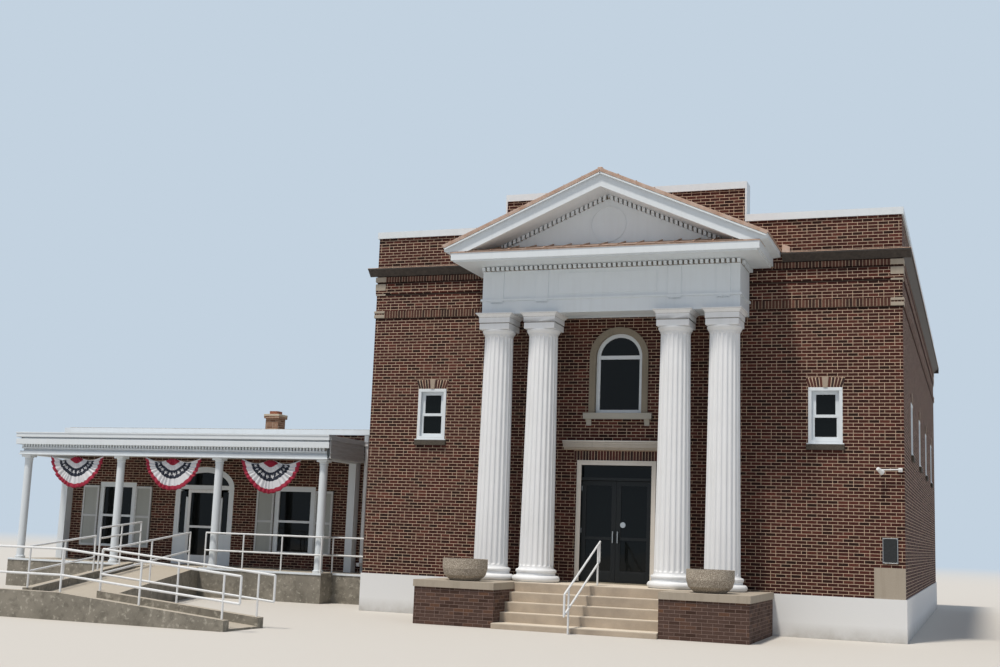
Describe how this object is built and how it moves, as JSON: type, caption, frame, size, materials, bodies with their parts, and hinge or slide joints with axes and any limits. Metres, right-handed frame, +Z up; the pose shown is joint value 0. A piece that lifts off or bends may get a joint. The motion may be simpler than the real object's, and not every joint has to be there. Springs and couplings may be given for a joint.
{
  "type": "town hall building",
  "caption": "Brick town hall with a columned portico under a gabled pediment, front steps, and a low side wing with a porch.",
  "frame": {"origin": "on the ground below the middle of the front door, in the face of the front wall", "axes": "+X to the right along the front seen from the street, +Y into the building, +Z up"},
  "size_m": [22.95, 25.71, 9.4],
  "materials": {
    "brick": "red-brown laid brick with pale mortar",
    "pier_brick": "rough purple-brown brick",
    "white_base": "painted smooth render",
    "limestone": "smooth dressed limestone",
    "white_wood": "painted white",
    "stucco_column": "painted white",
    "white_metal": "painted white",
    "copper": "weathered copper sheet",
    "concrete": "worn concrete",
    "aggregate": "exposed aggregate concrete",
    "dark_metal": "dark bronze coated",
    "glass": "clear",
    "floor": "plain floor",
    "shutter": "painted off-white",
    "bunting": "pleated cotton"
  },
  "bodies": {
    "base": {"arch_surround": "limestone", "brick_bands": "brick", "bunting": "bunting", "chimney": "brick", "columns": "stucco_column", "cornerstone": "limestone", "dentils": "white_wood", "door_frame": "dark_metal", "door_hood": "limestone", "downspout": "white_metal", "entry_frame": "white_wood", "floors_and_roof": "floor", "front_beam": "white_wood", "front_wall_centre": "brick", "front_wall_left": "brick", "front_wall_right": "brick", "horizontal_cornice": "white_wood", "left_rake": "white_wood", "left_wall": "brick", "main_cornice": "brick", "parapet_coping": "white_wood", "pier_caps": "limestone", "piers": "pier_brick", "planters": "aggregate", "platform": "concrete", "podium": "white_base", "porch_beams": "white_wood", "porch_columns": "white_wood", "porch_deck": "concrete", "porch_railing": "white_metal", "porch_roof": "white_wood", "portico_ceiling": "white_wood", "portico_roof": "copper", "ramp": "concrete", "ramp_railing": "white_metal", "rear_wall": "brick", "right_rake": "white_wood", "right_wall": "brick", "shutters": "shutter", "side_beams": "white_wood", "sills_and_keystones": "limestone", "stair_handrail": "white_metal", "steps": "concrete", "tympanum": "white_wood", "window_frames": "white_wood", "window_panes": "glass", "wing_front_left": "brick", "wing_front_right": "brick", "wing_left_wall": "brick", "wing_over_door": "brick", "wing_podium": "concrete", "wing_rear_wall": "brick", "wing_roof": "white_wood"},
    "left_door": {"left_door": "dark_metal", "left_door_glass": "glass"},
    "right_door": {"right_door": "dark_metal", "right_door_glass": "glass"},
    "wing_door": {"wing_door": "white_metal", "wing_door_glass": "glass"}
  },
  "joints": [
    {"name": "left_door_hinge", "type": "hinge", "parent": "base", "child": "left_door", "pos_m": [-0.764, 0.055, 0], "axis": [0, 0, -1], "range_deg": [0, 90]},
    {"name": "right_door_hinge", "type": "hinge", "parent": "base", "child": "right_door", "pos_m": [0.764, 0.055, 0], "axis": [0, 0, 1], "range_deg": [0, 90]},
    {"name": "wing_door_hinge", "type": "hinge", "parent": "base", "child": "wing_door", "pos_m": [-12.795, 3.35, 0], "axis": [0, 0, -1], "range_deg": [0, 90]}
  ]
}
